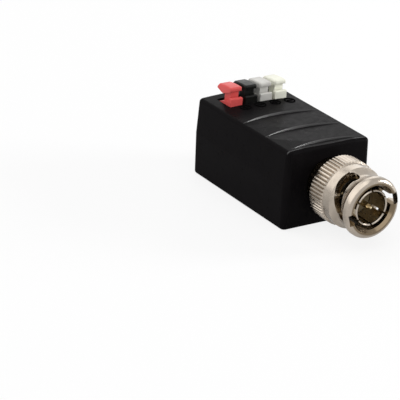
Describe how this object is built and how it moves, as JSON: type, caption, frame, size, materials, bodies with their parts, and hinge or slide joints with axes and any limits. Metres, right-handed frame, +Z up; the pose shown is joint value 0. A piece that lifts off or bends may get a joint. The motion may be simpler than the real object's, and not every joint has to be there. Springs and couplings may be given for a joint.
{
  "type": "coaxial plug to push terminal adapter",
  "caption": "Black two-part case with a bayonet coaxial plug on one end and a row of coloured push-lever wire terminals let into its top at the other.",
  "frame": {"origin": "under the middle of the whole part, on the plane the case stands on", "axes": "-Y out of the plug's mouth, +Z up through the roof, +X to the right seen from the plug's mouth"},
  "size_m": [0.022, 0.0519, 0.0223],
  "materials": {
    "case_black": "fine matte",
    "board_green": "solder mask",
    "nickel": "nickel plate",
    "gold": "gold flash",
    "tin": "tinned",
    "spring_steel": "bright",
    "insulator": "satin",
    "seal_rubber": "matt",
    "ferrite": "matt",
    "copper": "enamelled",
    "component_black": "moulded",
    "component_amber": "dipped",
    "pole_red": "moulded",
    "pole_black": "moulded",
    "pole_grey": "moulded",
    "pole_white": "moulded"
  },
  "bodies": {
    "case": {"upper_shell": "case_black", "lower_shell": "case_black", "circuit_board": "board_green", "plug_body": "nickel", "outer_contact": "nickel", "dielectric": "insulator", "centre_pin": "gold", "seal_ring": "seal_rubber", "spring_washer": "spring_steel", "balun_core": "ferrite", "balun_winding": "copper", "surge_suppressor": "component_black", "disc_capacitor": "component_amber", "chip_resistors": "component_black", "terminal_base_red": "pole_red", "clamp_spring_red": "spring_steel", "contact_bar_red": "tin", "terminal_base_black": "pole_black", "clamp_spring_black": "spring_steel", "contact_bar_black": "tin", "terminal_base_grey": "pole_grey", "clamp_spring_grey": "spring_steel", "contact_bar_grey": "tin", "terminal_base_white": "pole_white", "clamp_spring_white": "spring_steel", "contact_bar_white": "tin"},
    "washer": {"thrust_washer": "spring_steel"},
    "nut": {"coupling_nut": "nickel", "keeper_ring": "nickel"},
    "lever_red": {"push_lever_red": "pole_red"},
    "lever_black": {"push_lever_black": "pole_black"},
    "lever_grey": {"push_lever_grey": "pole_grey"},
    "lever_white": {"push_lever_white": "pole_white"}
  },
  "joints": [
    {"name": "coupling_pull", "type": "slide", "parent": "case", "child": "washer", "axis": [0, -1, 0], "range_m": [0, 0.0006], "stiffness_N_per_m": 9000, "springref_m": -0.0003, "deforming": ["spring_washer"]},
    {"name": "coupling_turn", "type": "hinge", "parent": "washer", "child": "nut", "pos_m": [0, -0.01935, 0.0098], "axis": [0, -1, 0], "continuous": true},
    {"name": "lever_push_red", "type": "slide", "parent": "case", "child": "lever_red", "axis": [0, 0, -1], "range_m": [0, 0.001], "stiffness_N_per_m": 3000, "springref_m": -0.0003, "deforming": ["clamp_spring_red"]},
    {"name": "lever_push_black", "type": "slide", "parent": "case", "child": "lever_black", "axis": [0, 0, -1], "range_m": [0, 0.001], "stiffness_N_per_m": 3000, "springref_m": -0.0003, "deforming": ["clamp_spring_black"]},
    {"name": "lever_push_grey", "type": "slide", "parent": "case", "child": "lever_grey", "axis": [0, 0, -1], "range_m": [0, 0.001], "stiffness_N_per_m": 3000, "springref_m": -0.0003, "deforming": ["clamp_spring_grey"]},
    {"name": "lever_push_white", "type": "slide", "parent": "case", "child": "lever_white", "axis": [0, 0, -1], "range_m": [0, 0.001], "stiffness_N_per_m": 3000, "springref_m": -0.0003, "deforming": ["clamp_spring_white"]}
  ]
}
